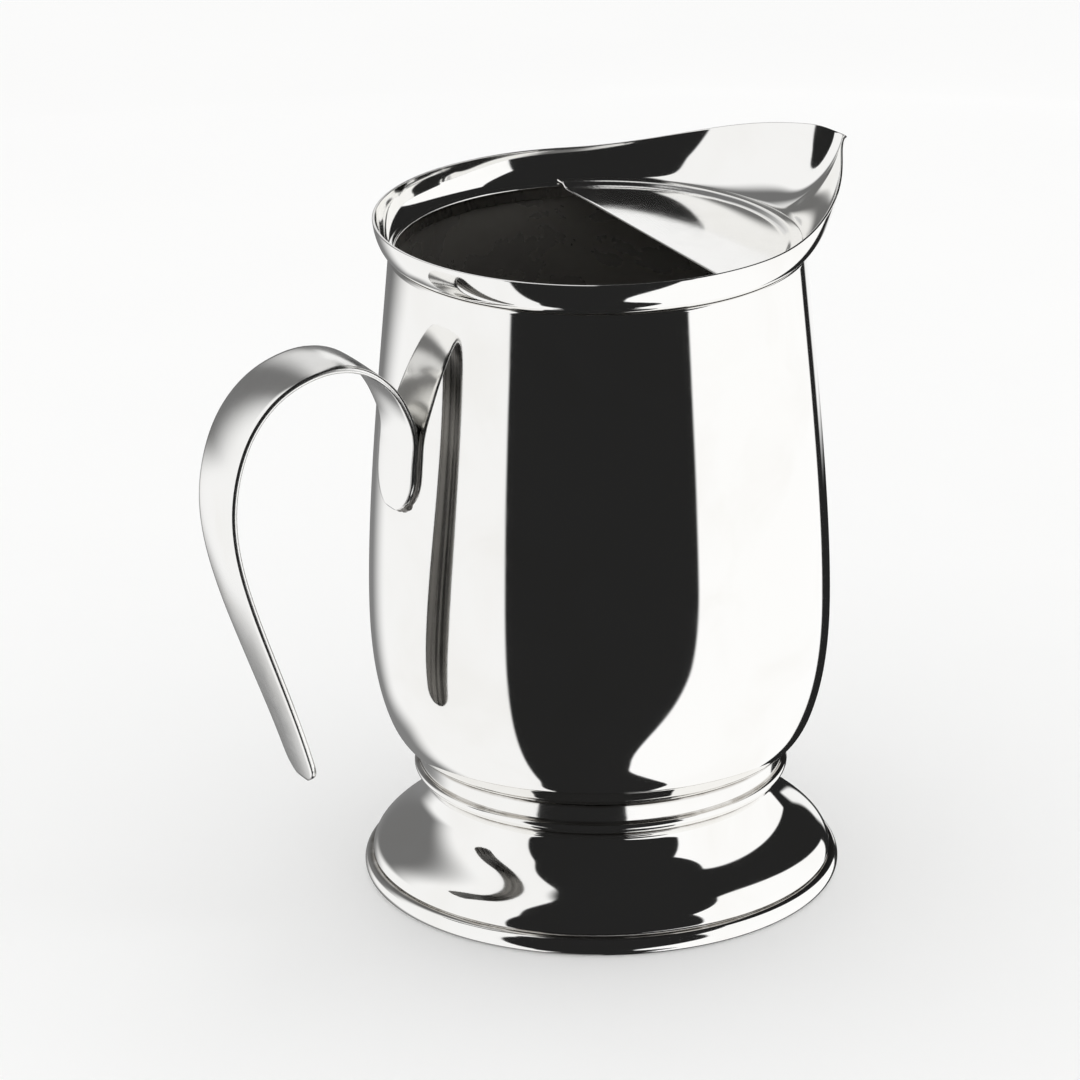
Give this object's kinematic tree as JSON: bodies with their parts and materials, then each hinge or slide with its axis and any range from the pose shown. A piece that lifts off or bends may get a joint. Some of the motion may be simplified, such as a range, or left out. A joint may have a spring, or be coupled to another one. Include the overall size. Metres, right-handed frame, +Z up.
{
  "type": "water pitcher",
  "caption": "Baluster water pitcher in silver with a pulled spout, a fixed ice guard, a spread ogee foot and an open strap handle.",
  "frame": {"origin": "under the middle of the whole pitcher's box, on the plane it stands on; the axis of the turned parts stands at X = 20.8 mm", "axes": "+Z up along the turned parts' axis, +X the way the spout points, -X towards the handle; the pitcher is the same on both sides of the XZ plane"},
  "size_m": [0.2063, 0.14, 0.2147],
  "materials": {
    "body_silver": "mirror polish",
    "collar_silver": "mirror polish",
    "guard_silver": "bright polish, slightly hazed",
    "waist_silver": "bright polish",
    "foot_silver": "mirror polish",
    "rim_silver": "bright polish",
    "handle_silver": "soft satin polish"
  },
  "bodies": {
    "root": {"body": "body_silver", "spout_collar": "collar_silver", "ice_guard": "guard_silver", "waist_ring": "waist_silver", "foot": "foot_silver", "foot_rim": "rim_silver", "handle": "handle_silver"}
  },
  "joints": []
}
